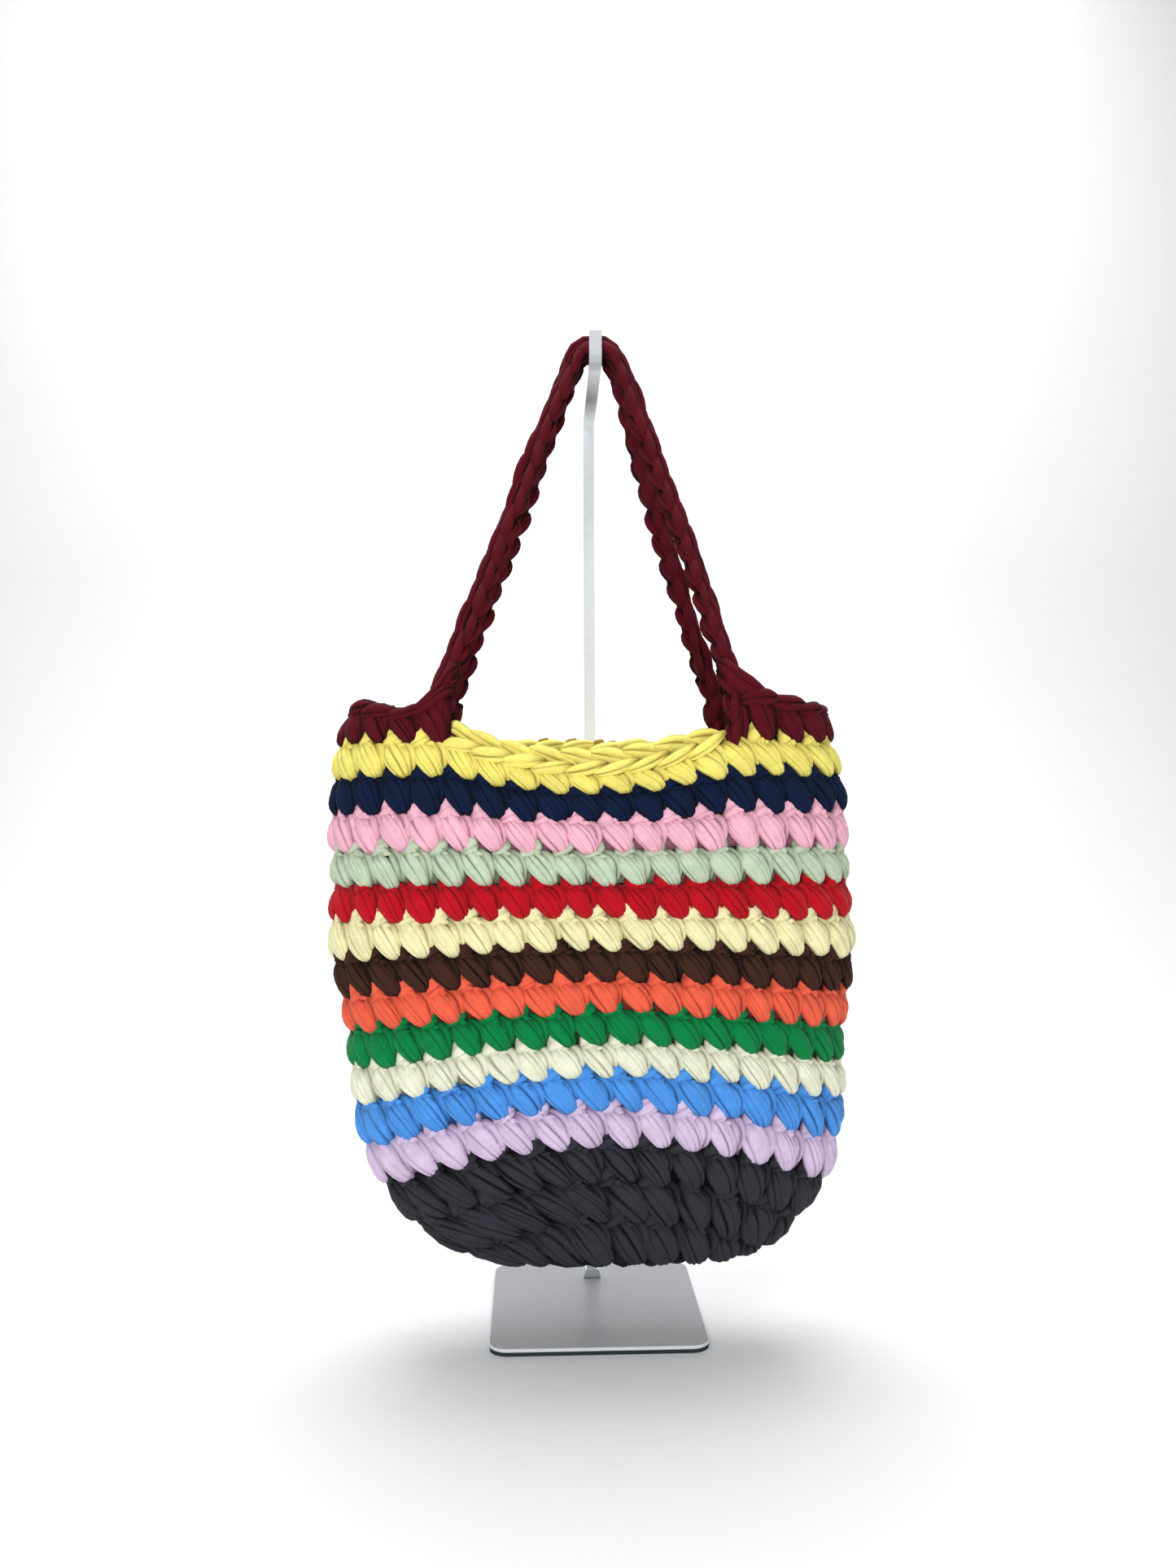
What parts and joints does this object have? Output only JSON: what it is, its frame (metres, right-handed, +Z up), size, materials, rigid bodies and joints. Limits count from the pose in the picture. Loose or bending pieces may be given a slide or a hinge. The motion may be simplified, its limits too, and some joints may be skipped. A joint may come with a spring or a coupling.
{
  "type": "crocheted shopper bag on display stand",
  "caption": "Open crocheted shopper bag in horizontal colour rows, hung by two chain handles on the arm of a flat-strip stand with a rectangular base plate.",
  "frame": {"origin": "centre of the stand's underside, on the surface it stands on", "axes": "+Z up, the bag's front faces -Y, +X to the right of a viewer in front of it"},
  "size_m": [0.3952, 0.234, 0.7603],
  "materials": {
    "stand_pad": "matte",
    "stand_plate": "satin",
    "stand_strip": "gloss",
    "yarn_yellow": "matte",
    "yarn_navy": "matte",
    "yarn_pink": "matte",
    "yarn_sage": "matte",
    "yarn_red": "matte",
    "yarn_cream": "matte",
    "yarn_brown": "matte",
    "yarn_coral": "matte",
    "yarn_green": "matte",
    "yarn_ivory": "matte",
    "yarn_blue": "matte",
    "yarn_lilac": "matte",
    "yarn_charcoal": "matte",
    "yarn_burgundy": "matte"
  },
  "bodies": {
    "root": {"base_pad": "stand_pad", "base_plate": "stand_plate", "post_socket": "stand_strip", "hook_post": "stand_strip", "row_yellow": "yarn_yellow", "row_navy": "yarn_navy", "row_pink": "yarn_pink", "row_sage": "yarn_sage", "row_red": "yarn_red", "row_cream": "yarn_cream", "row_brown": "yarn_brown", "row_coral": "yarn_coral", "row_green": "yarn_green", "row_ivory": "yarn_ivory", "row_blue": "yarn_blue", "row_lilac": "yarn_lilac", "row_charcoal": "yarn_charcoal", "row_charcoal_low": "yarn_charcoal", "base": "yarn_charcoal", "shoulder_left": "yarn_burgundy", "shoulder_right": "yarn_burgundy", "handle_front": "yarn_burgundy", "handle_back": "yarn_burgundy"}
  },
  "joints": []
}
